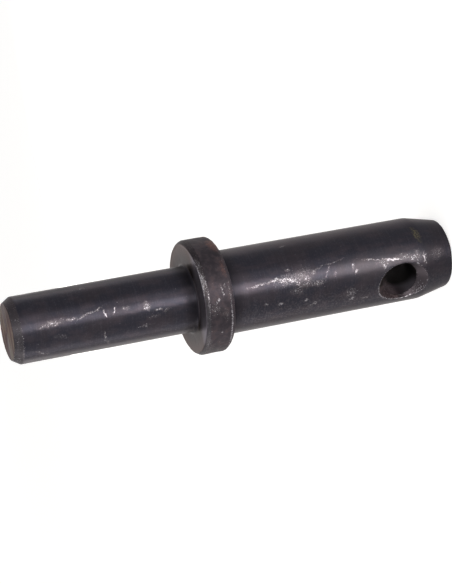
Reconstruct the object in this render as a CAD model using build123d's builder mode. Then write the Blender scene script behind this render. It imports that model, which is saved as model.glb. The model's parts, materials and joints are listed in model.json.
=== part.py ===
from build123d import *

import os

# Lift pin: one turned piece of steel with three steps on a common axis.
# The thin shank is fastened in the lift arm, the collar butts against the arm,
# and the thick pin carries the link, which a linch pin in the cross hole keeps on.
# The piece stands on the flat end of its nose. Z runs up the axis, from the nose
# to the end of the shank, and Y runs through the cross hole. Sizes are in millimetres.

# Shank
shank_diameter = 22.0
shank_length = 61.0
shank_chamfer_length = 2.6
shank_chamfer_depth = 1.7

# Collar: the arm side faces the shank, the link side faces the pin
collar_diameter = 38.0
collar_width = 10.0
arm_side_chamfer_length = 1.2
arm_side_chamfer_depth = 0.8
link_side_chamfer_length = 1.4
link_side_chamfer_depth = 1.2

# Pin, with its length from the collar to the start of the tapered nose
pin_diameter = 28.0
pin_length = 70.5
nose_length = 10.9
nose_end_diameter = 23.2

# Cross hole for the linch pin: the distance is from the collar to the hole's centre
hole_diameter = 12.5
hole_from_collar = 62.0
countersink_diameter = 18.4
countersink_angle = 90.0

# Rounded corners and edges
shank_root_radius = 1.0
pin_root_radius = 1.0
nose_edge_radius = 0.5

# Heights of the steps above the end of the nose
pin_start = nose_length
link_side = pin_start + pin_length
arm_side = link_side + collar_width
shank_end = arm_side + shank_length
hole_height = link_side - hole_from_collar

# Radii of the steps
shank_radius = shank_diameter / 2
collar_radius = collar_diameter / 2
pin_radius = pin_diameter / 2
nose_end_radius = nose_end_diameter / 2


def corner_circle(body, radius, height):
    """The round edge of the body at this radius and height."""
    rings = body.edges().filter_by(GeomType.CIRCLE)
    return rings.sort_by(lambda edge: abs(edge.radius - radius) + abs(edge.center().Z - height))[0]


with BuildPart() as lift_pin:
    # Half section of the turned body, from the axis out and up one side
    with BuildSketch(Plane.XZ):
        with BuildLine():
            nose = Polyline(
                (0, 0),
                (nose_end_radius, 0),
                (pin_radius, pin_start),
                (pin_radius, link_side),
            )
            collar = Polyline(
                nose @ 1,
                (collar_radius - link_side_chamfer_depth, link_side),
                (collar_radius, link_side + link_side_chamfer_length),
                (collar_radius, arm_side - arm_side_chamfer_length),
                (collar_radius - arm_side_chamfer_depth, arm_side),
            )
            shank = Polyline(
                collar @ 1,
                (shank_radius, arm_side),
                (shank_radius, shank_end - shank_chamfer_length),
                (shank_radius - shank_chamfer_depth, shank_end),
                (0, shank_end),
            )
            Line(shank @ 1, nose @ 0)
        make_face()
    revolve(axis=Axis.Z)

    # Roots of the shank and the pin at the collar, and the edge of the nose's end
    fillet(corner_circle(lift_pin, shank_radius, arm_side), shank_root_radius)
    fillet(corner_circle(lift_pin, pin_radius, link_side), pin_root_radius)
    fillet(corner_circle(lift_pin, nose_end_radius, 0), nose_edge_radius)

    # Cross hole, countersunk from both sides of the pin
    near_mouth = Plane(origin=(0, -pin_radius, hole_height), z_dir=(0, -1, 0))
    far_mouth = Plane(origin=(0, pin_radius, hole_height), z_dir=(0, 1, 0))
    with Locations(near_mouth, far_mouth):
        CounterSinkHole(
            radius=hole_diameter / 2,
            counter_sink_radius=countersink_diameter / 2,
            depth=pin_diameter,
            counter_sink_angle=countersink_angle,
        )

lift_pin.part.label = "lift_pin"
os.makedirs("parts", exist_ok=True)
export_step(lift_pin.part, "parts/lift_pin.step")
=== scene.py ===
import itertools
import json
import math
from collections import namedtuple

import bpy
import numpy as np
from mathutils import Matrix, Vector

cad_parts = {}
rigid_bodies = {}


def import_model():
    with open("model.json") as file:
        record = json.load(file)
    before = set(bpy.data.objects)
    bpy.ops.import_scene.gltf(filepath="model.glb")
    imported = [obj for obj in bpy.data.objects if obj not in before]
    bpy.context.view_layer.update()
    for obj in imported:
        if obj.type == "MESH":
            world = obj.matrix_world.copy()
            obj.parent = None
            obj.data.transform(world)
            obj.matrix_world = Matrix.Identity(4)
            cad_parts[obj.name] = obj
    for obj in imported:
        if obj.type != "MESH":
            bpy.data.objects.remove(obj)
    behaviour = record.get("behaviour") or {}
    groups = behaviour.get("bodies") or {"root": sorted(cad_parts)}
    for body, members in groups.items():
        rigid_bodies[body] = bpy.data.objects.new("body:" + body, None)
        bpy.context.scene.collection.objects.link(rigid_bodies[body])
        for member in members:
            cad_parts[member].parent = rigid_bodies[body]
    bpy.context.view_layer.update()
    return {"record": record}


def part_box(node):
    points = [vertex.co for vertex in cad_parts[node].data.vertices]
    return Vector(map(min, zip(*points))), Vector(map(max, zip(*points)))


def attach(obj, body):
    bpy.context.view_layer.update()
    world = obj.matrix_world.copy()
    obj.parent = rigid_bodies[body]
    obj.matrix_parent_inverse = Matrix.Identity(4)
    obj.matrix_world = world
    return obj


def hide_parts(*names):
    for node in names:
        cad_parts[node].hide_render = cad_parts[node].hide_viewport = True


# Looks of the lift pin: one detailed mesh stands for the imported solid, with worn edges,
# a rough collar rim, a sawn end and a worn black finish. Lengths are in metres in the
# part's own frame: the pin stands on its nose, Z runs up its axis, and the cross hole's
# near mouth faces -Y. Angles round the axis are counted from that mouth, towards +X.

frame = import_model()

mm = 0.001
NODE = "lift_pin"
mounts = {mount["name"]: mount for mount in frame["record"]["mounts"]}


def mount_radius(name):
    return mounts[name]["dims"]["r_mm"] * mm


def mount_length(name):
    return mounts[name]["dims"]["length_mm"] * mm


def mount_height(name):
    return mounts[name]["pos_m"][2]


# Sizes read from the frame
low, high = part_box(NODE)
HEIGHT = high.z
COLLAR_R = (high.y - low.y) / 2
PIN_R = mount_radius("hitch_pin")
SHANK_R = mount_radius("shank")
BORE_R = mount_radius("linch_pin_hole")
HOLE_Z = mount_height("linch_pin_hole")
LINK_Z = mount_height("collar_link_face")
ARM_Z = mount_height("collar_arm_face")
ROOT = LINK_Z - mount_height("hitch_pin")
NOSE_Z = mount_height("hitch_pin") - mount_length("hitch_pin")
SHANK_END_Z = mount_height("shank") + mount_length("shank")

# The countersink is a 90 degree cone, so it is as much wider than the bore as it is deep
SINK_R = BORE_R + PIN_R - mount_length("linch_pin_hole") / 2

# Sizes of the ends and chamfers, as in the solid
NOSE_END_R = 11.6 * mm
NOSE_EDGE = 0.5 * mm
SHANK_END_R = 9.3 * mm
LINK_CHAMFER = (1.2 * mm, 1.4 * mm)
ARM_CHAMFER = (0.8 * mm, 1.2 * mm)

# How finely the surface is divided. The rings round a mouth lie closer towards its rim.
COLUMNS = 256
WINDOW_COLUMNS = 32
WINDOW_REACH = 11.6 * mm
SINK_RINGS = 6
OUTER_RINGS = 7
OUTER_CROWDING = 1.3
BORE_RINGS = 30

# How far from a corner its wear reaches, and how unevenly worn corners are rounded
WEAR_REACH = 0.55 * mm
CORNER_UNEVEN = 0.3
RIM_UNEVEN = 0.45

# A mouth's rim: how far its corner is rounded, and how much tighter it is than the cone
# gives across the pin, towards +X and towards -X, where the corner is also sharper
RIM_LEG = 0.34 * mm
RIM_TIGHTER = (0.45 * mm, 0.28 * mm)
RIM_SHARPER = 0.5

# A rim's wear where it is least worn, how much more there is on the far side, and the
# least worn direction in degrees, counted from +X towards +Z
RIM_WEAR = 0.50
RIM_WEAR_MORE = 0.38
RIM_LEAST_WORN = -30

# The rounded corner between the countersink and the bore, and how worn it is
BORE_EASE = 0.22 * mm
BORE_CORNER_REACH = 0.4 * mm
BORE_CORNER_WEAR = 0.5


def lattice(cell, seed):
    """A number from -1 to 1 for each whole-numbered place, the same each time."""
    x, y, z = (cell[:, k].astype(np.int64) for k in range(3))
    h = (x * 73856093) ^ (y * 19349663) ^ (z * 83492791) ^ (seed * 2654435761)
    h = ((h ^ (h >> 13)) * 1274126177) & 0xFFFFFFFF
    h = h ^ (h >> 16)
    return (h & 0xFFFF) / 32767.5 - 1.0


def lumps(points, size, seed):
    """Smooth noise from -1 to 1, with lumps of about this size."""
    p = points / size
    cell = np.floor(p)
    f = p - cell
    f = f * f * (3.0 - 2.0 * f)
    total = np.zeros(len(points))
    for corner in itertools.product((0, 1), repeat=3):
        weight = np.ones(len(points))
        for k in range(3):
            weight = weight * (f[:, k] if corner[k] else 1.0 - f[:, k])
        total += weight * lattice(cell + np.array(corner), seed)
    return total


def rough(points, size, seed, octaves=3):
    """Noise with finer lumps on coarser ones."""
    total = np.zeros(len(points))
    for k in range(octaves):
        total += lumps(points, size / 2**k, seed + k) / 2**k
    return total / 1.6


def smooth(low_end, high_end, x):
    t = np.clip((x - low_end) / (high_end - low_end), 0.0, 1.0)
    return t * t * (3.0 - 2.0 * t)


# Turned surface

# worn is how worn a corner is at the angle side, and it fades over spread degrees to a third of that.
# leg is how far the corner is rounded, in so many rings.
Corner = namedtuple("Corner", "radius height leg rings worn side spread")
Run = namedtuple("Run", "zone spacing")
Row = namedtuple("Row", "radius height zone worn")

CORNERS = [
    Corner(NOSE_END_R, 0.0, NOSE_EDGE, 4, 0.35, 0, 90),
    Corner(PIN_R, NOSE_Z, 0.9 * mm, 4, 0.80, 33, 14),
    Corner(PIN_R, LINK_Z, ROOT, 4, 0.0, 0, 90),
    Corner(COLLAR_R - LINK_CHAMFER[0], LINK_Z, 0.30 * mm, 3, 0.30, 0, 90),
    Corner(COLLAR_R, LINK_Z + LINK_CHAMFER[1], 0.45 * mm, 3, 0.95, 0, 42),
    Corner(COLLAR_R, ARM_Z - ARM_CHAMFER[1], 0.45 * mm, 3, 0.70, 40, 34),
    Corner(COLLAR_R - ARM_CHAMFER[0], ARM_Z, 0.36 * mm, 3, 1.00, 50, 22),
    Corner(SHANK_R, ARM_Z, ROOT, 4, 0.0, 0, 90),
    Corner(SHANK_R, SHANK_END_Z, 0.34 * mm, 3, 0.56, 6, 60),
    Corner(SHANK_END_R, HEIGHT, 0.30 * mm, 3, 0.75, -35, 40),
]
RUNS = [
    Run("nose_end", 1.20 * mm),
    Run("turned", 0.50 * mm),
    Run("turned", 0.70 * mm),
    Run("faced", 0.50 * mm),
    Run("forged", 0.40 * mm),
    Run("forged", 0.30 * mm),
    Run("chamfer", 0.40 * mm),
    Run("faced", 0.35 * mm),
    Run("turned", 0.95 * mm),
    Run("chamfer", 0.40 * mm),
    Run("sawn", 0.30 * mm),
]
ZONES = ("turned", "nose_end", "faced", "forged", "chamfer", "sawn", "inside")

column_angle = np.arange(COLUMNS) * 2.0 * math.pi / COLUMNS
column_circle = np.stack([np.sin(column_angle), -np.cos(column_angle), np.zeros(COLUMNS)], 1)
all_round = np.append(column_angle, 2.0 * math.pi)


def bend(start, middle, end, t):
    """A point on the round path from start to end that starts out towards middle."""
    return (1 - t) ** 2 * start + 2 * t * (1 - t) * middle + t**2 * end


def turned_rows():
    """The rows of the turned surface, from the middle of the nose's end to the middle of the shank's.

    Radius, height and wear have a value for each column.
    """
    points = [np.array([0.0, 0.0])]
    points += [np.array([corner.radius, corner.height]) for corner in CORNERS]
    points += [np.array([0.0, HEIGHT])]
    rows = []
    start = np.tile(points[0][:, None], (1, COLUMNS))
    for k, run in enumerate(RUNS):
        here, there = points[k], points[k + 1]
        along = (there - here) / np.linalg.norm(there - here)
        last = k == len(RUNS) - 1
        if last:
            end = np.tile(there[:, None], (1, COLUMNS))
        else:
            corner = CORNERS[k]
            uneven = lumps(column_circle * corner.radius, 4.0 * mm, 10 + k)
            uneven += 0.5 * lumps(column_circle * corner.radius, 1.3 * mm, 30 + k)
            leg = corner.leg * (1.0 + (CORNER_UNEVEN * uneven if corner.worn else 0.0))
            end = there[:, None] - along[:, None] * leg
        count = max(2, round(float(np.linalg.norm(there - here)) / run.spacing))
        first = 1 if k == 0 else 0
        for step in range(first, count):
            rows.append([start + (end - start) * step / count, run.zone])
        if last:
            break
        after = points[k + 2]
        onward = (after - there) / np.linalg.norm(after - there)
        start = there[:, None] + onward[:, None] * leg
        for ring in range(corner.rings):
            t = ring / corner.rings
            zone = run.zone if t < 0.5 else RUNS[k + 1].zone
            rows.append([bend(end, there[:, None], start, t), zone])
    return [Row(line[0], line[1], zone, corner_wear(line)) for line, zone in rows]


def fade(away):
    """How much of a corner's wear is left at this distance from it."""
    return np.exp(-((away / WEAR_REACH) ** 2))


def corner_wear(line):
    """How worn the points of a row are, from 0 to 1, by the nearest outer corner."""
    wear = np.zeros(COLUMNS)
    for corner in CORNERS:
        away = np.hypot(line[0] - corner.radius, line[1] - corner.height)
        wear = np.maximum(wear, worn_round(corner, column_angle) * fade(away))
    return wear


def worn_round(corner, angle):
    """How worn a corner is at each angle round the axis."""
    away = (np.degrees(angle) - corner.side + 180.0) % 360.0 - 180.0
    return corner.worn * (1.0 + 2.0 * np.exp(-((away / corner.spread) ** 2))) / 3.0


def outer_radius(z):
    """The pin's radius at a height, with the rounded corner where the nose starts."""
    taper = (PIN_R - NOSE_END_R) / NOSE_Z
    leg = CORNERS[1].leg
    straight = np.where(z < NOSE_Z, PIN_R - (NOSE_Z - z) * taper, PIN_R)
    t = np.clip((1.0 - (z - NOSE_Z) / leg) / 2.0, 0.0, 1.0)
    rounded = PIN_R - t**2 * leg * taper
    return np.where(np.abs(z - NOSE_Z) < leg, rounded, straight)


# The mesh under construction: points with their marks, and faces with their bake places

points_made = []
marks_made = {zone: [] for zone in ZONES}
marks_made["worn"] = []
faces_made = []
places_made = []
count_made = 0


def add_points(xyz, zone, worn):
    """Adds points and returns their numbers."""
    global count_made
    first = count_made
    points_made.append(xyz)
    for name in ZONES:
        marks_made[name].append(np.full(len(xyz), 1.0 if name == zone else 0.0))
    marks_made["worn"].append(np.broadcast_to(worn, len(xyz)).astype(float))
    count_made += len(xyz)
    return np.arange(first, count_made)


def add_faces(corners, places):
    """corners is (faces, 3 or 4) and places has the bake map's u and v for each of them."""
    faces_made.append(corners)
    places_made.append(places)


def closed(ring):
    return np.append(ring, ring[:1], axis=0)


def add_band(outer, inner, outer_place, inner_place, flip=False, kept=slice(None)):
    """Four-cornered faces between two closed rings of the same length.

    Each place list has one entry more than its ring, to close it. kept picks the faces to make.
    """
    o, i = closed(outer), closed(inner)
    quads = np.stack([o[:-1], o[1:], i[1:], i[:-1]], 1)[kept]
    places = np.stack([outer_place[:-1], outer_place[1:], inner_place[1:], inner_place[:-1]], 1)[kept]
    if flip:
        quads, places = quads[:, ::-1], places[:, ::-1]
    add_faces(quads, places)


# The bake map, as shares of its width: the turned side, the bore and a disc for each flat end.
# turn says which way round a disc lies, and radius is that of the end it shows.
Sheet = namedtuple("Sheet", "x y wide tall")
Disc = namedtuple("Disc", "x y reach turn radius")
MAP_SIDE = Sheet(0.005, 0.005, 0.70, 0.99)
MAP_BORE = Sheet(0.735, 0.005, 0.26, 0.46)
MAP_NOSE = Disc(0.86, 0.87, 0.115, 1, NOSE_END_R)
MAP_SHANK = Disc(0.86, 0.62, 0.105, -1, SHANK_END_R)


def disc_place(disc, radius):
    """Where a ring of this radius on a flat end lies on the bake map."""
    reach = disc.reach * radius / disc.radius
    angle = disc.turn * all_round
    return np.stack([disc.x + reach * np.cos(angle), disc.y + reach * np.sin(angle)], 1)


def side_place(angle, share):
    """Where points of the side lie on the bake map, share being how far up the side they are."""
    u = MAP_SIDE.x + MAP_SIDE.wide * angle / (2 * math.pi)
    v = MAP_SIDE.y + MAP_SIDE.tall * np.broadcast_to(share, np.shape(u))
    return np.stack([u, v], 1)


def bore_place(side, count, share):
    """Where a ring of this many points lies, share being how far it is from a mouth to the middle."""
    u = MAP_BORE.x + MAP_BORE.wide * np.arange(count + 1) / count
    v = MAP_BORE.y + MAP_BORE.tall * (1.0 + side * (1.0 - share)) / 2
    return np.stack([u, np.full(count + 1, v)], 1)


class TurnedSide:
    """The turned surface from end to end, with a window left open round each mouth."""

    def __init__(self):
        self.rows = turned_rows()
        self.ids = [self.row_points(row) for row in self.rows]
        self.heights = np.array([row.height[0] for row in self.rows])
        zones = [row.zone for row in self.rows]
        self.nose_last = zones.count("nose_end") - 1
        self.sawn_from = zones.index("sawn")

        # how far along the section each row is, from 0 at the nose's end to 1 at the shank's
        radii = np.array([row.radius[0] for row in self.rows])
        path = np.append(0.0, np.cumsum(np.hypot(np.diff(radii), np.diff(self.heights))))
        side_from, side_to = path[self.nose_last], path[self.sawn_from]
        self.share = (path - side_from) / (side_to - side_from)

        # the rows at which the windows start and end
        by_hole = np.abs(self.heights - HOLE_Z) < WINDOW_REACH
        window_rows = [k for k, zone in enumerate(zones) if zone == "turned" and by_hole[k]]
        self.window_from, self.window_to = window_rows[0], window_rows[-1]

    @staticmethod
    def row_points(row):
        xyz = column_circle * row.radius[:, None]
        xyz[:, 2] = row.height
        return add_points(xyz, row.zone, row.worn)

    def band_places(self, k):
        """Where rows k and k + 1 lie on the bake map."""
        pair = (k, k + 1)
        if k < self.nose_last:
            return [disc_place(MAP_NOSE, self.rows[j].radius.mean()) for j in pair]
        if k >= self.sawn_from:
            return [disc_place(MAP_SHANK, self.rows[j].radius.mean()) for j in pair]
        return [side_place(all_round, self.share[j]) for j in pair]

    def add_bands(self):
        """Faces between the rows, apart from those in the windows."""
        outside = np.ones(COLUMNS, bool)
        for middle in (0, COLUMNS // 2):
            outside[np.arange(middle - WINDOW_COLUMNS, middle + WINDOW_COLUMNS)] = False
        for k in range(len(self.rows) - 1):
            kept = outside if self.window_from <= k < self.window_to else slice(None)
            add_band(self.ids[k], self.ids[k + 1], *self.band_places(k), kept=kept)

    def add_ends(self):
        """A fan of faces round the middle of each flat end."""
        for k, height, disc in ((0, 0.0, MAP_NOSE), (-1, HEIGHT, MAP_SHANK)):
            row, ring = self.rows[k], closed(self.ids[k])
            middle = add_points(np.array([[0.0, 0.0, height]]), row.zone, 0.0)[0]
            edge, centre = disc_place(disc, row.radius.mean()), disc_place(disc, 0.0)[:-1]
            fan = np.stack([ring[:-1], np.full(COLUMNS, middle), ring[1:]], 1)
            fan_places = np.stack([edge[:-1], centre, edge[1:]], 1)
            if disc.turn < 0:
                fan, fan_places = fan[:, ::-1], fan_places[:, ::-1]
            add_faces(fan, fan_places)

    def window(self, side):
        """The edge of a mouth's window, counter-clockwise as seen from -Y.

        Returns its points' numbers, their angles and how far up the side they are.
        """
        half = WINDOW_COLUMNS
        across = np.arange(-half, half)
        up = np.arange(self.window_from, self.window_to)
        lowest, highest = np.full(2 * half, self.window_from), np.full(2 * half, self.window_to)
        left, right = np.full(len(up), -half), np.full(len(up), half)
        edge_rows = np.concatenate([lowest, up, highest, up[::-1] + 1])
        steps = np.concatenate([across, right, -across, left])
        columns = (0 if side < 0 else COLUMNS // 2) - side * steps
        loop = np.array([self.ids[k][c] for k, c in zip(edge_rows, columns % COLUMNS)])
        return loop, 2 * math.pi * columns / COLUMNS, self.share[edge_rows]

    def share_at(self, height):
        """How far up the side a height on the pin is."""
        known = slice(self.nose_last, self.window_to + 1)
        return np.interp(height, self.heights[known], self.share[known])


def surface_depth(reach, direction):
    """How far from the pin's axis the outer surface lies, over a point seen along the hole."""
    x = reach * np.cos(direction)
    z = HOLE_Z + reach * np.sin(direction)
    return np.sqrt(outer_radius(z) ** 2 - x**2)


def sink_depth(reach):
    return PIN_R - SINK_R + reach


def rim_reach(direction):
    """How far from the hole's axis the countersink meets the outer surface, in each direction."""
    inner, outer = np.full(len(direction), BORE_R), np.full(len(direction), SINK_R)
    for _ in range(50):
        middle = (inner + outer) / 2
        below = sink_depth(middle) < surface_depth(middle, direction)
        inner, outer = np.where(below, middle, inner), np.where(below, outer, middle)
    return middle


def ring_points(side, direction, out, depth):
    """Points round the hole's axis, this far out from it and this deep along it."""
    y = np.broadcast_to(side * depth, len(direction))
    return np.stack([np.cos(direction) * out, y, HOLE_Z + np.sin(direction) * out], 1)


def gap(ring, other):
    return np.linalg.norm(ring - other, axis=1)


def mouth_rings(side, direction, start, corner, rim, leg):
    """The rings from the rounded rim down the countersink to the bore, and the bore's corner."""
    down = rim - leg * math.sqrt(0.5)
    end = ring_points(side, direction, down, sink_depth(down))
    sink_end_r = BORE_R + BORE_EASE * math.sqrt(0.5)
    sink_end = ring_points(side, direction, sink_end_r, sink_depth(sink_end_r))
    bore_corner = ring_points(side, direction, BORE_R, sink_depth(BORE_R))
    bore_start = ring_points(side, direction, BORE_R, sink_depth(BORE_R) - BORE_EASE)
    stack = [(bend(start, corner, end, 0.25), "turned")]
    stack += [(bend(start, corner, end, t), "inside") for t in (0.5, 0.75, 1.0)]
    stack += [(end + (sink_end - end) * k / SINK_RINGS, "inside") for k in range(1, SINK_RINGS + 1)]
    stack += [(bend(sink_end, bore_corner, bore_start, t), "inside") for t in (0.33, 0.67, 1.0)]
    return stack, bore_corner


def build_mouth(side, turned):
    """The surface round a mouth, its worn rim and its countersink.

    Returns the bore's first ring: its points' numbers, their bake places and their positions.
    """
    loop, angle, share = turned.window(side)
    xyz = np.concatenate(points_made)[loop]
    x, z = xyz[:, 0], xyz[:, 2] - HOLE_Z
    direction, reach = np.arctan2(z, x), np.hypot(x, z)
    across = np.cos(direction) ** 2
    rim = rim_reach(direction) - np.where(np.cos(direction) > 0.0, *RIM_TIGHTER) * across
    uneven = lumps(np.stack([x, np.full(len(x), side * PIN_R), z], 1), 3.0 * mm, 60 + side)
    leg = RIM_LEG * (1.0 + RIM_UNEVEN * uneven) * (1.0 - RIM_SHARPER * across)
    corner = ring_points(side, direction, rim, surface_depth(rim, direction))

    # the rim is most worn on the side away from the nose and towards -X
    from_least = direction - math.radians(RIM_LEAST_WORN)
    round_rim = RIM_WEAR + RIM_WEAR_MORE * (1.0 - np.cos(from_least)) / 2.0

    # the surface between the window's edge and the rim
    middle = 0.0 if side < 0 else math.pi
    last, last_place = loop, closed(side_place(angle, share))
    for k in range(1, OUTER_RINGS + 1):
        t = 1.0 - (1.0 - k / OUTER_RINGS) ** OUTER_CROWDING
        out = reach + (rim + leg - reach) * t
        ring = ring_points(side, direction, out, surface_depth(out, direction))
        ids = add_points(ring, "turned", np.maximum(round_rim * fade(gap(ring, corner)), nose_wear(ring)))
        around = middle + np.arctan2(-side * ring[:, 0], side * ring[:, 1])
        place = closed(side_place(around, turned.share_at(ring[:, 2])))
        add_band(last, ids, last_place, place, flip=side > 0)
        last, last_place = ids, place

    # the countersink and the bore's corner, in the hole's own sheet on the bake map
    stack, bore_corner = mouth_rings(side, direction, ring, corner, rim, leg)
    rings = [ring] + [inner for inner, _ in stack]
    steps_down = [gap(a, b).mean() for a, b in zip(rings, rings[1:])]
    deep = sum(steps_down) + mount_length("linch_pin_hole") / 2
    gone = 0.0
    last_place = bore_place(side, len(loop), gone)
    for (ring, zone), step_down in zip(stack, steps_down):
        inner_wear = BORE_CORNER_WEAR * np.exp(-((gap(ring, bore_corner) / BORE_CORNER_REACH) ** 2))
        ids = add_points(ring, zone, np.maximum(round_rim * fade(gap(ring, corner)), inner_wear))
        gone += step_down / deep
        place = bore_place(side, len(loop), gone)
        add_band(last, ids, last_place, place, flip=side > 0)
        last, last_place = ids, place
    return last, last_place, ring


def nose_wear(ring):
    """Wear along the corner where the nose starts."""
    around = np.arctan2(ring[:, 0], -ring[:, 1])
    return worn_round(CORNERS[1], around) * fade(ring[:, 2] - NOSE_Z)


def build_bore(near, far):
    """The drilled wall between the two mouths."""
    last, near_place, near_ring = near
    end, end_place, far_ring = far
    last_place = near_place
    for k in range(1, BORE_RINGS):
        t = k / BORE_RINGS
        ids = add_points(near_ring + (far_ring - near_ring) * t, "inside", 0.0)
        place = near_place + (end_place - near_place) * t
        add_band(last, ids, last_place, place)
        last, last_place = ids, place
    add_band(last, end, last_place, end_place)


def outward(degrees):
    """The direction away from the axis at this angle."""
    return math.sin(math.radians(degrees)), -math.cos(math.radians(degrees)), 0.0


# The saw marks on the shank's end: the direction across them, how far apart and how deep they are
SAW = outward(40)
SAW_PITCH = 0.85 * mm
SAW_DEPTH = 0.022 * mm

# How far the collar's rim swells, the radii from which it does so a little and fully, and the
# side where it swells most, in degrees
RIM_SWELL = 0.30 * mm
SWELL_FROM = (COLLAR_R - 1.6 * mm, COLLAR_R - 0.4 * mm)
SWELL_SIDE, SWELL_SPREAD = 122.0, 55.0

# Bumps stand out and go in by reach. Pits start where the noise is above low, and are as deep
# as reach where it is above high. size is how wide both are.
Bumps = namedtuple("Bumps", "reach size seed")
Pits = namedtuple("Pits", "reach size seed low high")
RIM_LUMPS = Bumps(0.085 * mm, 2.6 * mm, 101)
RIM_GRAIN = Bumps(0.035 * mm, 0.8 * mm, 105)
RIM_PITS = Pits(0.07 * mm, 1.1 * mm, 111, 0.35, 0.8)
SAW_WAVER = Bumps(0.9 * mm, 5.0 * mm, 121)
SAW_GRAIN = Bumps(0.02 * mm, 0.5 * mm, 123)
NICKS = Pits(0.13 * mm, 1.2 * mm, 131, 0.3, 0.9)
FINE_NICKS = Pits(0.091 * mm, 0.6 * mm, 133, 0.35, 0.9)
TURNED_WAVER = Bumps(0.008 * mm, 5.0 * mm, 141)
INSIDE_GRAIN = Bumps(0.02 * mm, 1.2 * mm, 151)
FACE_DENTS = Pits(0.015 * mm, 1.5 * mm, 161, 0.2, 0.8)

# How much longer the grain is along the saw marks, and the waver along the turned sides
SAW_GRAIN_LONG = 1 / 0.12
TURNED_WAVER_LONG = 2.0


def bumps(points, kind):
    return kind.reach * lumps(points, kind.size, kind.seed)


def pits(points, kind):
    return -kind.reach * smooth(kind.low, kind.high, lumps(points, kind.size, kind.seed))


def relief(points, marks):
    """How far each point stands out from, or lies below, the turned form."""
    x, y, z = points.T
    around = np.degrees(np.arctan2(x, -y))
    out = RIM_SWELL * smooth(*SWELL_FROM, np.hypot(x, y))
    out *= np.exp(-(((around - SWELL_SIDE) / SWELL_SPREAD) ** 2))
    rim_lumps = RIM_LUMPS.reach * rough(points, RIM_LUMPS.size, RIM_LUMPS.seed)
    out += marks["forged"] * (rim_lumps + bumps(points, RIM_GRAIN) + pits(points, RIM_PITS))
    # saw marks across the shank's end, all much the same way, with a slow waver
    across = x * SAW[0] + y * SAW[1]
    along = y * SAW[0] - x * SAW[1]
    saw_marks = SAW_DEPTH * np.sin((across + bumps(points, SAW_WAVER)) * 2 * math.pi / SAW_PITCH)
    stretched = np.stack([across, along / SAW_GRAIN_LONG, z], 1)
    out += marks["sawn"] * (saw_marks + bumps(stretched, SAW_GRAIN))
    # nicks in the outer corners
    out += marks["worn"] * (pits(points, NICKS) + pits(points, FINE_NICKS))
    # the turned sides are a little uneven along their length
    stretched = np.stack([x, y, z / TURNED_WAVER_LONG], 1)
    out += (1.0 - marks["forged"]) * bumps(stretched, TURNED_WAVER)
    out += marks["inside"] * bumps(points, INSIDE_GRAIN)
    return out + marks["faced"] * pits(points, FACE_DENTS)


def build_mesh():
    turned = TurnedSide()
    turned.add_bands()
    turned.add_ends()
    build_bore(build_mouth(-1, turned), build_mouth(1, turned))
    points = np.concatenate(points_made)
    marks = {name: np.concatenate(values) for name, values in marks_made.items()}
    faces = [list(map(int, face)) for block in faces_made for face in block]
    mesh = bpy.data.meshes.new("lift_pin_worn")
    mesh.from_pydata(points.tolist(), [], faces)
    mesh.update()
    normals = np.empty(len(points) * 3)
    mesh.vertex_normals.foreach_get("vector", normals)
    normals = normals.reshape(-1, 3)
    # the flat end on which the pin stands stays flat
    standing = (normals[:, 2] < -0.9) & (points[:, 2] < 0.1 * mm)
    moved = points + normals * np.where(standing, 0.0, relief(points, marks))[:, None]
    mesh.vertices.foreach_set("co", moved.ravel())
    for name, values in marks.items():
        mark = mesh.attributes.new(name, "FLOAT", "POINT")
        mark.data.foreach_set("value", values.astype(np.float32))
    layer = mesh.uv_layers.new(name="OFBake")
    places = np.concatenate([block.reshape(-1, 2) for block in places_made])
    layer.uv.foreach_set("vector", places.astype(np.float32).ravel())
    mesh.shade_smooth()
    mesh.update()
    return mesh


# Worn black finish, with painted shade and a painted highlight, worked out from the place on the surface

Mark = namedtuple("Mark", "height angle long wide tilt amount")

# Scuffs: height and half sizes in millimetres, angle and tilt in degrees.
# A small amount gives scattered flecks, a large one a whole stroke.
SHANK_MARKS = [
    Mark(140.4, 35.0, 5.4, 1.1, 8, 0.56),
    Mark(142.6, 33.0, 1.8, 0.6, 10, 0.66),
    Mark(140.0, 37.0, 1.3, 0.7, -30, 0.80),
    Mark(138.2, 33.0, 1.0, 0.7, 30, 0.74),
    Mark(133.6, 36.0, 2.2, 0.6, 0, 0.72),
    Mark(128.8, 39.0, 3.8, 0.4, 16, 0.70),
    Mark(124.6, 45.0, 2.6, 0.45, 22, 0.62),
    Mark(122.4, 34.8, 0.20, 1.7, 15, 0.96),
    Mark(119.4, 38.0, 0.20, 1.6, -34, 0.92),
    Mark(115.4, 38.0, 1.4, 0.9, 0, 0.58),
    Mark(108.5, 36.6, 1.2, 1.9, 20, 0.62),
    Mark(108.6, 31.5, 1.1, 0.8, 0, 0.74),
    Mark(104.6, 26.6, 1.4, 0.35, 0, 0.76),
    Mark(102.3, 24.0, 1.2, 0.45, 20, 0.62),
    Mark(123.2, -2.0, 0.36, 1.7, 0, 0.84),
    Mark(122.3, -17.0, 0.34, 2.0, 30, 0.64),
    Mark(137.5, 11.0, 2.6, 0.9, -8, 0.50),
    Mark(109.5, 2.5, 3.6, 0.6, 4, 0.54),
    Mark(106.6, 17.0, 2.6, 1.0, 4, 0.46),
    Mark(127.6, 93.0, 1.5, 0.8, 20, 0.58),
    Mark(128.0, 104.0, 1.6, 0.5, 0, 0.52),
    Mark(118.6, 112.0, 0.8, 0.6, 0, 0.50),
    Mark(143.5, -16.0, 4.2, 0.5, -28, 0.56),
    Mark(149.7, 14.0, 0.30, 7.0, 0, 0.46),
    Mark(149.7, -18.0, 0.35, 6.0, 0, 0.48),
    Mark(150.9, -30.0, 1.2, 4.4, 0, 0.54),
    Mark(151.0, 8.0, 1.0, 3.2, 0, 0.48),
]
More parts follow.
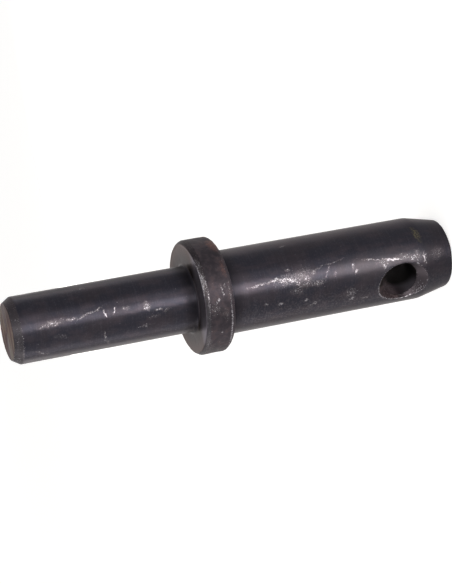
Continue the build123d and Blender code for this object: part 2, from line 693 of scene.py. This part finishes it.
PIN_MARKS = [
    Mark(70.5, 35.7, 6.0, 0.5, 6, 0.66),
    Mark(66.0, 38.2, 3.6, 0.5, 10, 0.74),
    Mark(60.0, 36.0, 6.4, 2.6, 6, 0.55),
    Mark(62.6, 36.2, 2.2, 0.9, 4, 0.82),
    Mark(59.6, 34.5, 2.6, 1.0, -14, 0.82),
    Mark(57.6, 29.5, 1.2, 1.6, 10, 0.68),
    Mark(56.0, 38.0, 5.0, 3.0, 24, 0.53),
    Mark(54.2, 33.0, 1.6, 1.9, 18, 0.60),
    Mark(60.2, 49.0, 1.0, 0.7, 20, 0.68),
    Mark(50.6, 24.2, 3.0, 1.1, 6, 0.66),
    Mark(51.6, 39.0, 1.0, 1.0, 0, 0.68),
    Mark(58.2, 18.6, 3.6, 1.5, -10, 0.54),
    Mark(46.8, 36.0, 0.36, 2.8, -26, 0.61),
    Mark(44.0, 33.0, 0.30, 1.6, -20, 0.53),
    Mark(45.6, 47.4, 7.0, 0.26, 10, 0.64),
    Mark(37.4, 38.0, 0.6, 2.1, -22, 0.68),
    Mark(36.6, 31.0, 0.5, 0.9, -10, 0.88),
    Mark(39.0, 1.5, 2.6, 2.2, 0, 0.58),
    Mark(38.4, -8.6, 1.2, 0.8, 10, 0.70),
    Mark(33.6, -11.0, 2.8, 0.3, 0, 0.58),
    Mark(64.0, 4.8, 0.7, 0.55, 0, 0.84),
    Mark(69.4, 7.4, 0.8, 0.6, 0, 0.72),
    Mark(54.9, 3.3, 0.6, 0.6, 0, 0.80),
    Mark(51.9, -4.6, 2.0, 0.8, 10, 0.56),
    Mark(58.5, 89.5, 2.0, 0.5, 12, 0.60),
    Mark(22.8, 37.8, 3.5, 0.48, -7, 1.12),
    Mark(26.0, 36.0, 4.2, 1.4, -6, 0.54),
    Mark(28.0, 40.4, 2.6, 0.4, -6, 0.66),
    Mark(31.0, 43.0, 4.4, 0.30, -10, 0.66),
    Mark(18.6, 38.0, 4.0, 1.6, -10, 0.56),
    Mark(15.4, 36.0, 0.9, 1.6, -30, 0.70),
    Mark(14.0, 36.5, 2.0, 2.6, -20, 0.56),
    Mark(11.5, 32.2, 0.44, 1.7, 0, 1.00),
    Mark(11.3, 26.6, 0.40, 0.7, 0, 0.80),
    Mark(6.0, 33.0, 3.4, 2.6, 0, 0.48),
    Mark(26.3, 30.8, 0.9, 0.8, 0, 0.80),
    Mark(14.0, 26.6, 0.5, 0.6, 0, 0.80),
    Mark(13.0, 21.6, 0.8, 0.4, 0, 0.76),
    Mark(55.0, 25.0, 4.2, 1.5, 8, 0.53),
    Mark(66.0, 108.0, 3.6, 0.7, 0, 0.47),
    Mark(49.0, 104.0, 3.0, 0.6, 4, 0.45),
]
COLLAR_MARKS = [
    Mark(85.4, 37.0, 0.22, 2.2, 6, 0.80),
    Mark(86.8, 28.5, 0.30, 1.2, -12, 0.86),
    Mark(87.9, 26.0, 0.35, 0.6, 0, 0.90),
    Mark(84.2, 41.0, 0.5, 1.0, 0, 0.66),
    Mark(90.4, -18.0, 1.5, 3.0, 0, 0.52),
    Mark(89.6, -31.0, 1.8, 4.0, 0, 0.50),
    Mark(90.9, 48.0, 0.9, 4.4, 0, 0.80),
    Mark(86.4, -6.0, 0.45, 0.45, 0, 1.00),
    Mark(88.4, 20.0, 2.4, 2.6, 0, 0.50),
    Mark(85.0, 14.0, 1.8, 3.4, 20, 0.46),
    Mark(90.3, 24.0, 0.25, 6.5, 0, 0.66),
    Mark(90.9, 66.0, 1.0, 4.6, 0, 0.58),
]

# Patches of colour: reddish ones on the collar's rim and a brass rub where the nose starts
RED_PATCHES = [
    Mark(83.1, 92.0, 1.9, 3.6, 0, 1.0),
    Mark(83.2, 59.0, 0.9, 2.8, 0, 0.55),
    Mark(83.6, 122.0, 1.3, 3.0, 0, 0.7),
]
BRASS_PATCHES = [Mark(11.9, 68.0, 1.10, 3.2, 8, 1.0)]

# A painted highlight by the hole: the finish is painted a little lighter along the highlight there
HIGHLIGHT_PATCHES = [Mark(25.0, 35.0, 18.0, 4.4, 0, 1.0)]


class Nodes:
    """Short ways to add shader nodes. Each returns an output socket, and takes sockets or plain numbers."""

    def __init__(self, tree):
        self.tree = tree

    def put(self, socket, value):
        if isinstance(value, bpy.types.NodeSocket):
            self.tree.links.new(value, socket)
        else:
            socket.default_value = value

    def node(self, kind, *values, **settings):
        """A node itself, with these settings, whose first inputs take these values."""
        made = self.tree.nodes.new(kind)
        for name, value in settings.items():
            setattr(made, name, value)
        for socket, value in zip(made.inputs, values):
            self.put(socket, value)
        return made

    def filled(self, kind, inputs, **settings):
        """A node itself, whose inputs take these values by name or number."""
        made = self.node(kind, **settings)
        for key, value in inputs.items():
            self.put(made.inputs[key], value)
        return made

    def math(self, operation, *values):
        return self.node("ShaderNodeMath", *values, operation=operation).outputs[0]

    def chain(self, operation, values):
        """The operation on the first two values, then on the result and the third, and so on."""
        result = values[0]
        for value in values[1:]:
            result = self.math(operation, result, value)
        return result

    def times(self, *values):
        return self.chain("MULTIPLY", values)

    def most(self, *values):
        """The largest of the values at each place."""
        return self.chain("MAXIMUM", values)

    def rest(self, share):
        return self.math("SUBTRACT", 1.0, share)

    def vector(self, operation, *values):
        return self.node("ShaderNodeVectorMath", *values, operation=operation).outputs["Vector"]

    def dot(self, first, second):
        return self.node("ShaderNodeVectorMath", first, second, operation="DOT_PRODUCT").outputs["Value"]

    def join(self, x, y, z):
        return self.node("ShaderNodeCombineXYZ", x, y, z).outputs[0]

    def noise(self, vector, scale, detail=2.0, roughness=0.5, output="Fac"):
        """Noise that mostly lies from 0.3 to 0.7. The larger the scale, the finer it is."""
        inputs = {"Vector": vector, "Scale": scale, "Detail": detail, "Roughness": roughness}
        return self.filled("ShaderNodeTexNoise", inputs).outputs[output]

    def rise(self, value, low_end, high_end, to_low=0.0, to_high=1.0):
        """Goes smoothly from to_low to to_high as the value goes from one end to the other."""
        ends = (value, low_end, high_end, to_low, to_high)
        return self.node("ShaderNodeMapRange", *ends, interpolation_type="SMOOTHSTEP").outputs[0]

    def mix(self, share, first, second):
        inputs = {"Factor": share, "A": first, "B": second}
        return self.filled("ShaderNodeMix", inputs, data_type="FLOAT").outputs["Result"]

    def blend(self, share, first, second):
        """As mix, for colours, which have these numbered sockets."""
        inputs = {"Factor": share, 6: first, 7: second}
        return self.filled("ShaderNodeMix", inputs, data_type="RGBA").outputs[2]

    def attribute(self, name):
        return self.node("ShaderNodeAttribute", attribute_name=name).outputs["Fac"]


def empty_nodes(owner):
    """Empties the node tree of a material or a world, and gives the short ways to fill it."""
    owner.use_nodes = True
    owner.node_tree.nodes.clear()
    return Nodes(owner.node_tree)


def add_object(name, data):
    made = bpy.data.objects.new(name, data)
    bpy.context.scene.collection.objects.link(made)
    return made


# How much of a mark's amount is gone at its outline
MARK_FADE = 0.6


def marks_field(n, place, marks, radius):
    """The strongest of the marks at each place. place is (height, length round, 1) in millimetres."""
    amounts = []
    for mark in marks:
        around = math.radians(mark.angle) * radius / mm
        c, s = math.cos(math.radians(mark.tilt)), math.sin(math.radians(mark.tilt))
        along = (c / mark.long, -s / mark.long)
        aside = (s / mark.wide, c / mark.wide)
        a = n.dot(place, (along[0], along[1], -along[0] * mark.height - along[1] * around))
        b = n.dot(place, (aside[0], aside[1], -aside[0] * mark.height - aside[1] * around))
        square = n.math("MULTIPLY_ADD", b, b, n.times(a, a))
        amounts.append(n.math("MULTIPLY_ADD", square, -mark.amount * MARK_FADE, mark.amount))
    return n.most(*amounts, 0.0)


# Colours of the black finish, from a painted shade by the collar's roots, where it is darkest, to where it
# is scuffed and worn through. The scuffed colour also paints a highlight by the hole.
PAINTED_ROOT_SHADE = (0.0100, 0.0092, 0.0115, 1)
OXIDE = (0.0190, 0.0185, 0.0249, 1)
OXIDE_VIOLET = (0.0228, 0.0201, 0.0249, 1)
OXIDE_LIGHT = (0.0447, 0.0420, 0.0512, 1)
OXIDE_WARM = (0.0322, 0.0266, 0.0322, 1)
OXIDE_TINTED = (0.0480, 0.0388, 0.0460, 1)
SCUFFED = (0.0760, 0.0672, 0.0710, 1)
BARE = (0.2501, 0.2390, 0.2600, 1)

# Colours of the chamfers, which are painted darker on their shaded side, of the collar's face, with painted
# shade towards the shank, of its rim, and of the shank's end
CHAMFER = (0.0385, 0.0355, 0.0406, 1)
CHAMFER_DARK = (0.0215, 0.0178, 0.0205, 1)
END_CHAMFER_DARK = (0.0330, 0.0282, 0.0322, 1)
FACED = (0.0650, 0.0425, 0.0375, 1)
FACE_ROOT_SHADE = (0.0150, 0.0098, 0.0088, 1)
FACED_NEAR = (0.1220, 0.1090, 0.1290, 1)
FORGED = (0.0395, 0.0330, 0.0388, 1)
FORGED_DARK = (0.0300, 0.0256, 0.0304, 1)
SAWN = (0.1150, 0.0905, 0.0715, 1)
SAWN_DARK = (0.0480, 0.0230, 0.0270, 1)

# Colours of the countersinks and the bore, with painted shade in the bore and on each countersink's side
# towards the collar
SINK = (0.0440, 0.0376, 0.0433, 1)
SINK_SHADE = (0.0080, 0.0056, 0.0058, 1)
BORE_SHADE = (0.0052, 0.0044, 0.0046, 1)
BORE_GREY = (0.0760, 0.0700, 0.0833, 1)
BORE_RUST = (0.0800, 0.0629, 0.0760, 1)

# Colours of the rust and the brass rub
BROWN = (0.0405, 0.0295, 0.0325, 1)
RED = (0.1050, 0.0560, 0.0490, 1)
BRASS = (0.0900, 0.0800, 0.0450, 1)

# Sides towards which the pin is lighter and warmer, has a fine dusting of scuffs, has its chamfers painted
# darker in shade, and has a worn, greyer part of the collar's face
TINTED_SIDE = outward(125)
UNDER = outward(-36)
SHADED = outward(100)
NEAR = outward(30)

# How strongly single layers cover what lies below them, and how much of the wear the
# shank's end is spared
TINT_SHARE = 0.5
HIGHLIGHT_SHARE = 0.20
ROOT_SHADE_SHARE = 0.80
BRASS_SHARE = 0.75
SCUFF_DUST_SHARE = 0.75
SAWN_SPARED = 0.7

# Wear, against 1 for a fully worn place: the lower part of a countersink, stray spots, chamfers
SINK_WEAR = 0.56
STRAY_WEAR = 0.40
CHAMFER_WEAR = 0.36

# Bare flecks: what the noise is multiplied by and what is added to it, what the wear counts,
# and the sums at which metal starts to show and is bare
FLECK_NOISE = (2.1, -0.62)
FLECK_WEAR = 0.95
FLECK_LEVELS = (1.0, 1.40)

# How far the scuffs' outlines wander, in millimetres
WANDER = 0.95

# Scales of the noise that the layers share
BROAD, MEDIUM, FINE = 0.10, 0.55, 1.7

# How much deeper the rust in the bore reaches for each millimetre towards the collar
RUST_SLANT = 0.6

# How close the streaks of the sawn end lie, across the saw marks and along them
STREAKS = (0.45, 0.06)

# Roughness: the black finish from its glossiest to its dullest, other zones, rust and bare metal
OXIDE_ROUGH = (0.37, 0.43)
ZONE_ROUGH = {"faced": 0.28, "forged": 0.60, "chamfer": 0.52, "inside": 0.56, "sawn": 0.50}
BROWN_ROUGH = 0.70
BARE_ROUGH = 0.42

# How much each place reflects as metal does
METAL = 0.92
RUSTY_METAL = 0.4
SAWN_METAL = 0.7

# How much of the usual rise in brightness towards a grazing view is left on the dark finish
GRAZING = (0.77, 0.75, 0.75, 1)

# How much a plain, non-metal surface reflects, as a share of the usual amount
PLAIN_SHINE = 0.15

# The turned lines stretch the highlights round the axis
STRETCH = 0.8
STRETCH_TURN = 0.25

# How far the bump stands out, and its parts: turned lines, grain elsewhere and on the rim,
# and the hollow of a bare fleck
BUMP_REACH = 0.02 * mm
BUMP_LINES = 0.8
BUMP_GRAIN = 0.5
BUMP_RIM_GRAIN = 2.4
BUMP_FLECK = -0.6

# Heights and the shank's radius in millimetres, as the finish counts them
ARM, LINK, HOLE = ARM_Z / mm, LINK_Z / mm, HOLE_Z / mm
SHANK = SHANK_R / mm


class Surface:
    """What the layers of the finish share: places in millimetres, zones and noise."""

    def __init__(self, n):
        position = n.node("ShaderNodeTexCoord").outputs["Object"]
        self.p = n.vector("MULTIPLY", position, (1 / mm, 1 / mm, 1 / mm))
        self.x, self.y, self.z = n.node("ShaderNodeSeparateXYZ", self.p).outputs
        self.from_axis = n.math("SQRT", n.math("MULTIPLY_ADD", self.x, self.x, n.times(self.y, self.y)))
        angle = n.math("ARCTAN2", self.x, n.times(self.y, -1.0))

        # height and length round the axis, moved a little so that the marks' outlines are uneven
        flat = n.join(self.z, n.times(angle, self.from_axis), 1.0)
        bent = n.noise(self.p, 0.9, output="Color")
        spread, back = (2 * WANDER, 2 * WANDER, 0.0), (-WANDER, -WANDER, 0.0)
        self.place = n.vector("ADD", flat, n.vector("MULTIPLY_ADD", bent, spread, back))

        self.zone = {name: n.attribute(name) for name in ZONES}
        self.worn = n.attribute("worn")
        self.on_shank = n.rise(self.z, ARM - 0.1, ARM + 0.1)
        self.on_collar = n.rise(self.from_axis, PIN_R / mm + 2.0, PIN_R / mm + 2.2)

        # 0 on the bore's wall and 1 on the countersinks
        sink_from = sink_depth(BORE_R) / mm
        self.on_sink = n.rise(n.math("ABSOLUTE", self.y), sink_from - 0.5, sink_from - 0.1)

        self.broad = n.noise(self.p, BROAD, 3.0, 0.6)
        self.medium = n.noise(self.p, MEDIUM, 3.0, 0.6)
        self.fine = n.noise(self.p, FINE, 3.0, 0.7)
        self.rings = n.noise(n.vector("MULTIPLY", self.p, (0.10, 0.10, 2.2)), 1.0, 3.0, 0.75)


def scuff_wear(n, s):
    """How scuffed the sides of the shank, the pin and the collar are."""
    on_pin = marks_field(n, s.place, PIN_MARKS, PIN_R)
    on_shank = marks_field(n, s.place, SHANK_MARKS, SHANK_R)
    on_rim = marks_field(n, s.place, COLLAR_MARKS, COLLAR_R)
    scuffs = n.mix(s.on_collar, n.mix(s.on_shank, on_pin, on_shank), on_rim)
    return n.times(scuffs, n.rest(n.most(s.zone["faced"], s.zone["sawn"], s.zone["inside"])))


def bare_metal(n, s, scuffs):
    """1 in the flecks where the finish is worn through, which are denser the more worn a place is."""
    low_corner = n.times(n.rise(s.x, 1.0, -4.0), n.rise(s.z, HOLE - 2.4, HOLE - 6.0))
    in_sink = n.times(low_corner, s.zone["inside"], s.on_sink, SINK_WEAR)
    stray = n.times(n.rise(s.medium, 0.56, 0.74), STRAY_WEAR)
    wear = n.most(scuffs, s.worn, in_sink, stray, n.times(s.zone["chamfer"], CHAMFER_WEAR))
    flecks = n.math("MULTIPLY_ADD", n.noise(s.p, 2.6, 2.0, 0.75), *FLECK_NOISE)
    bare = n.rise(n.math("MULTIPLY_ADD", wear, FLECK_WEAR, flecks), *FLECK_LEVELS)
    return n.times(bare, n.rest(n.times(s.zone["sawn"], SAWN_SPARED)))


def black_finish(n, s):
    """The black finish, lighter along fine turned lines and in a fine grain, with painted shade by the
    collar's roots and a painted highlight by the hole.
    """
    colour = n.blend(n.rise(s.broad, 0.44, 0.62), OXIDE, OXIDE_VIOLET)
    smears = n.noise(n.vector("MULTIPLY", s.p, (0.30, 0.30, 0.13)), 1.0, 4.0, 0.60)
    colour = n.blend(n.rise(smears, 0.46, 0.68, 0.0, 0.60), colour, OXIDE_WARM)
    grain = n.math("MULTIPLY_ADD", s.rings, 0.45, n.times(s.fine, 0.55))
    colour = n.blend(n.rise(grain, 0.46, 0.80, 0.0, 0.8), colour, OXIDE_LIGHT)
    under = n.rise(n.dot(s.p, UNDER), 8.0, 13.0)
    colour = n.blend(n.times(n.rise(s.fine, 0.44, 0.68, 0.0, 0.42), under), colour, SCUFFED)
    # lighter and warmer towards the side at 125 degrees
    tinted = n.rise(n.dot(s.p, TINTED_SIDE), 10.0, 13.8)
    colour = n.blend(n.times(tinted, TINT_SHARE), colour, OXIDE_TINTED)
    # painted highlight: the finish is painted lighter along the highlight by the hole
    painted_highlight = n.times(marks_field(n, s.place, HIGHLIGHT_PATCHES, PIN_R), HIGHLIGHT_SHARE, n.rest(s.on_shank))
    colour = n.blend(painted_highlight, colour, SCUFFED)
    # painted shade: darkest by the roots at the collar, where the collar shades the finish
    shade_by_shank = n.times(s.on_shank, n.rise(s.z, ARM + 6.0, ARM + 0.6))
    shade_by_pin = n.math("SUBTRACT", n.rise(s.z, LINK - 6.0, LINK - 0.5), n.most(s.on_shank, s.on_collar))
    return n.blend(n.times(n.most(shade_by_shank, shade_by_pin, 0.0), ROOT_SHADE_SHARE), colour, PAINTED_ROOT_SHADE)


def collar_and_chamfers(n, s, colour):
    """The chamfers, the collar's face and its rim, with painted shade on the shaded side and by the shank,
    over the colour of the rest.
    """
    shaded = n.rise(n.dot(s.p, SHADED), 2.0, 12.0)
    shaded_chamfer = n.blend(s.on_shank, CHAMFER_DARK, END_CHAMFER_DARK)
    colour = n.blend(s.zone["chamfer"], colour, n.blend(shaded, CHAMFER, shaded_chamfer))
    # painted shade: the collar's face darkens towards the shank's root, where the shank shades it and is
    # reflected dark in it
    face = n.blend(n.rise(s.from_axis, SHANK + 1.8, SHANK + 7.0), FACE_ROOT_SHADE, FACED)
    near = n.rise(n.dot(s.p, NEAR), 8.0, 13.0)
    colour = n.blend(s.zone["faced"], colour, n.blend(near, face, FACED_NEAR))
    rim = n.blend(n.rise(s.medium, 0.40, 0.60), FORGED_DARK, FORGED)
    colour = n.blend(s.zone["forged"], colour, rim)
    shaded_corner = n.times(n.rise(s.z, ARM - 1.9, ARM - 1.3), s.zone["forged"], shaded)
    return n.blend(shaded_corner, colour, CHAMFER_DARK)


def hole_colours(n, s, colour):
    """The countersinks and the bore's wall, with painted shade in the bore and on each countersink's side
    towards the collar, over the colour of the rest.
    """
    # painted shade: each countersink is dark on its side towards the collar and lighter towards the nose,
    # and the bore's wall is painted dark
    sink = n.blend(n.rise(s.z, HOLE - 4.0, HOLE + 1.5), SINK, SINK_SHADE)
    colour = n.blend(s.zone["inside"], colour, n.blend(s.on_sink, BORE_SHADE, sink))
    # the bore's -X wall is rusty near each mouth, and deeper in towards the collar
    toward_mouth = n.math("MULTIPLY_ADD", s.z, RUST_SLANT, n.math("ABSOLUTE", s.y))
    by_mouth = n.rise(toward_mouth, RUST_SLANT * HOLE + 3.0, RUST_SLANT * HOLE + 6.5)
    rusty_wall = n.times(n.rise(s.x, 0.5, -4.0), by_mouth, n.rest(s.on_sink), s.zone["inside"])
    return n.blend(rusty_wall, colour, n.blend(n.rise(s.z, HOLE - 3.5, HOLE), BORE_GREY, BORE_RUST))


def rust(n, s):
    """How brown each place is, on the rim and in the hole, and how red, in the rim's patches."""
    upper_wall = n.times(n.rise(s.z, HOLE - 3.0, HOLE + 2.0), n.rise(s.x, 3.0, -2.0))
    in_hole = n.times(s.zone["inside"], n.math("MULTIPLY_ADD", upper_wall, 0.60, 0.10))
    likely = n.most(n.times(s.zone["forged"], 0.46), in_hole)
    brown = n.rise(n.math("ADD", likely, s.medium), 0.98, 1.12)
    brown = n.times(brown, n.rise(s.fine, 0.30, 0.65))
    red = n.times(marks_field(n, s.place, RED_PATCHES, COLLAR_R), s.zone["forged"])
    return brown, n.times(red, n.rise(s.fine, 0.30, 0.62))


def brass_rub(n, s):
    patch = marks_field(n, s.place, BRASS_PATCHES, PIN_R)
    return n.times(patch, s.zone["turned"], n.rise(s.fine, 0.36, 0.64), n.rest(s.on_shank), BRASS_SHARE)


def sawn_end(n, s):
    """The shank's end, streaked along the saw marks."""
    across = n.dot(s.p, (SAW[0] * STREAKS[0], SAW[1] * STREAKS[0], 0.0))
    along = n.dot(s.p, (-SAW[1] * STREAKS[1], SAW[0] * STREAKS[1], 0.0))
    streak = n.noise(n.join(across, along, 0.0), 1.0, 4.0, 0.75)
    return n.blend(n.rise(streak, 0.45, 0.58), SAWN_DARK, SAWN)


def finish_bump(n, s, bare):
    """Fine turned lines and grain, coarser on the rim, and the finish's edge round bare flecks."""
    height = n.times(s.rings, BUMP_LINES)
    grain = n.mix(s.zone["forged"], BUMP_GRAIN, BUMP_RIM_GRAIN)
    height = n.math("MULTIPLY_ADD", s.fine, grain, height)
    height = n.math("MULTIPLY_ADD", bare, BUMP_FLECK, height)
    inputs = {"Strength": 1.0, "Distance": BUMP_REACH, "Height": height}
    return n.filled("ShaderNodeBump", inputs).outputs[0]


def finish_material():
    material = bpy.data.materials.new("blackened_steel_worn")
    n = empty_nodes(material)
    s = Surface(n)
    scuffs = scuff_wear(n, s)
    bare = bare_metal(n, s, scuffs)
    brown, red = rust(n, s)

    colour = hole_colours(n, s, collar_and_chamfers(n, s, black_finish(n, s)))
    colour = n.blend(brown, colour, BROWN)
    colour = n.blend(red, colour, RED)
    colour = n.blend(brass_rub(n, s), colour, BRASS)
    colour = n.blend(s.zone["sawn"], colour, sawn_end(n, s))
    # a light dusting round the scuffs, then the bare flecks
    dust = n.times(n.rise(scuffs, 0.15, 0.75, 0.0, SCUFF_DUST_SHARE), n.rise(s.fine, 0.30, 0.66))
    colour = n.blend(dust, colour, SCUFFED)
    colour = n.blend(bare, colour, BARE)

    metal = n.mix(n.most(brown, red), METAL, RUSTY_METAL)
    metal = n.mix(s.zone["sawn"], metal, SAWN_METAL)
    roughness = n.rise(s.fine, 0.3, 0.7, *OXIDE_ROUGH)
    for zone, value in ZONE_ROUGH.items():
        roughness = n.mix(s.zone[zone], roughness, value)
    roughness = n.mix(brown, roughness, BROWN_ROUGH)
    roughness = n.mix(bare, roughness, BARE_ROUGH)

    inputs = {
        "Base Color": colour,
        "Metallic": metal,
        "Roughness": roughness,
        "Normal": finish_bump(n, s, bare),
        "Specular Tint": GRAZING,
        "Specular IOR Level": PLAIN_SHINE,
        "Anisotropic": STRETCH,
        "Anisotropic Rotation": STRETCH_TURN,
        "Tangent": n.node("ShaderNodeTangent", direction_type="RADIAL", axis="Z").outputs[0],
    }
    n.node("ShaderNodeOutputMaterial", n.filled("ShaderNodeBsdfPrincipled", inputs).outputs[0])
    return material


def add_pin():
    pin = add_object("lift_pin_worn", build_mesh())
    pin.data.materials.append(finish_material())
    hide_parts(NODE)
    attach(pin, "root")


# Studio

# Where rays show the background, the floor glows near the pin and is white far from it
FLOOR_REACH = 6.0
FLOOR_COLOUR = (0.72, 0.72, 0.725, 1)
FLOOR_GLOW = 0.55
FAR_GLOW = 1.0
FAR_FLOOR = (0.6, 2.0)
WORLD_LEVEL = 0.30
WORLD_COLOUR = (1.0, 1.0, 1.0, 1)
LAMP_COLOUR = (1.0, 0.972, 0.915)

# Angles in degrees. light is what a white card that faces the lamp would show.
Lamp = namedtuple("Lamp", "name azimuth rise distance wide tall light")
LAMPS = [
    Lamp("key_near", 35.0, -21.5, 0.175, 0.072, 0.02, 0.60),
    Lamp("key_low", 35.0, -3.5, 0.60, 0.26, 0.07, 0.38),
    Lamp("key_high", 35.5, 20.0, 1.10, 0.30, 0.40, 0.42),
    Lamp("shoulder", 62.0, -3.5, 0.60, 0.24, 0.07, 0.20),
    Lamp("fill_right", 0.0, -3.5, 0.60, 0.24, 0.07, 0.06),
    Lamp("fill_front", -30.0, -3.5, 0.60, 0.24, 0.07, 0.06),
    Lamp("side_low", -60.0, -3.5, 0.60, 0.26, 0.07, 0.13),
    Lamp("side_high", -60.0, 20.0, 1.10, 0.50, 0.40, 0.36),
    Lamp("lower_edge", -95.0, -3.5, 0.60, 0.26, 0.07, 0.09),
    Lamp("upper_edge", 150.0, -3.5, 0.60, 0.26, 0.07, 0.09),
    Lamp("back", 215.0, -3.5, 0.60, 0.24, 0.07, 0.12),
    Lamp("top", 0.0, 89.0, 1.60, 1.60, 1.60, 0.35),
]


def seen_rays(n):
    """1 for rays that show the background: straight ones, reflections and rays through glass."""
    path = n.node("ShaderNodeLightPath")
    kinds = ("Is Camera Ray", "Is Glossy Ray", "Is Transmission Ray")
    return n.most(*(path.outputs[kind] for kind in kinds))


def add_floor():
    mesh = bpy.data.meshes.new("floor")
    reach = FLOOR_REACH
    corners = [(-reach, -reach, 0), (reach, -reach, 0), (reach, reach, 0), (-reach, reach, 0)]
    mesh.from_pydata(corners, [], [(0, 1, 2, 3)])
    floor = add_object("floor", mesh)
    material = bpy.data.materials.new("pale_floor")
    n = empty_nodes(material)
    paint = n.filled("ShaderNodeBsdfDiffuse", {"Color": FLOOR_COLOUR})
    position = n.node("ShaderNodeTexCoord").outputs["Object"]
    from_pin = n.node("ShaderNodeVectorMath", position, operation="LENGTH").outputs["Value"]
    strength = n.rise(from_pin, *FAR_FLOOR, FLOOR_GLOW, FAR_GLOW)
    glow = n.filled("ShaderNodeEmission", {"Strength": n.times(seen_rays(n), strength)})
    both = n.node("ShaderNodeAddShader", paint.outputs[0], glow.outputs[0])
    n.node("ShaderNodeOutputMaterial", both.outputs[0])
    mesh.materials.append(material)


def add_world():
    world = bpy.data.worlds.new("studio")
    bpy.context.scene.world = world
    n = empty_nodes(world)
    inputs = {"Color": WORLD_COLOUR, "Strength": n.mix(seen_rays(n), WORLD_LEVEL, 1.0)}
    light = n.filled("ShaderNodeBackground", inputs)
    n.node("ShaderNodeOutputWorld", light.outputs[0])


def toward(azimuth, rise):
    """The direction at this angle round the axis and this far above the floor."""
    a, e = math.radians(azimuth), math.radians(rise)
    return Vector((math.sin(a) * math.cos(e), -math.cos(a) * math.cos(e), math.sin(e)))


def add_lamps():
    middle = Vector((0, 0, HEIGHT / 2))
    for lamp in LAMPS:
        data = bpy.data.lights.new(lamp.name, "AREA")
        data.shape = "RECTANGLE"
        data.size, data.size_y = lamp.wide, lamp.tall
        # the power that gives this light on a card in the pin's place
        data.energy = math.pi**2 * lamp.distance**2 * lamp.light
        data.color = LAMP_COLOUR
        made = add_object(lamp.name, data)
        away = toward(lamp.azimuth, lamp.rise)
        made.location = middle + away * lamp.distance
        made.rotation_euler = away.to_track_quat("Z", "Y").to_euler()
        made.visible_camera = False


# Camera, as fitted to the outline in the photograph

CAMERA_AZIMUTH = 35.28
CAMERA_RISE = 18.17
CAMERA_ROLL = 100.41
CAMERA_DISTANCE = 0.55845
CAMERA_AIM_Z = 0.07795
CAMERA_LENS = 104.02
SENSOR_WIDTH = 36.0
CAMERA_SHIFT_Y = -0.0004


def add_camera():
    data = bpy.data.cameras.new("camera")
    data.lens = CAMERA_LENS
    data.shift_y = CAMERA_SHIFT_Y
    data.sensor_width = SENSOR_WIDTH
    data.sensor_fit = "AUTO"
    data.clip_start = 0.01
    camera = add_object("camera", data)
    back = toward(CAMERA_AZIMUTH, CAMERA_RISE)
    level_right = Vector((0, 0, 1)).cross(back).normalized()
    level_up = back.cross(level_right)
    roll = math.radians(CAMERA_ROLL)
    up = level_up * math.cos(roll) + level_right * math.sin(roll)
    right = up.cross(back)
    turn = Matrix((right, up, back)).transposed()
    stand = Vector((0, 0, CAMERA_AIM_Z)) + back * CAMERA_DISTANCE
    camera.matrix_world = Matrix.Translation(stand) @ turn.to_4x4()
    bpy.context.scene.camera = camera


add_pin()
add_floor()
add_world()
add_lamps()
add_camera()
bpy.context.scene.view_settings.view_transform = "Standard"
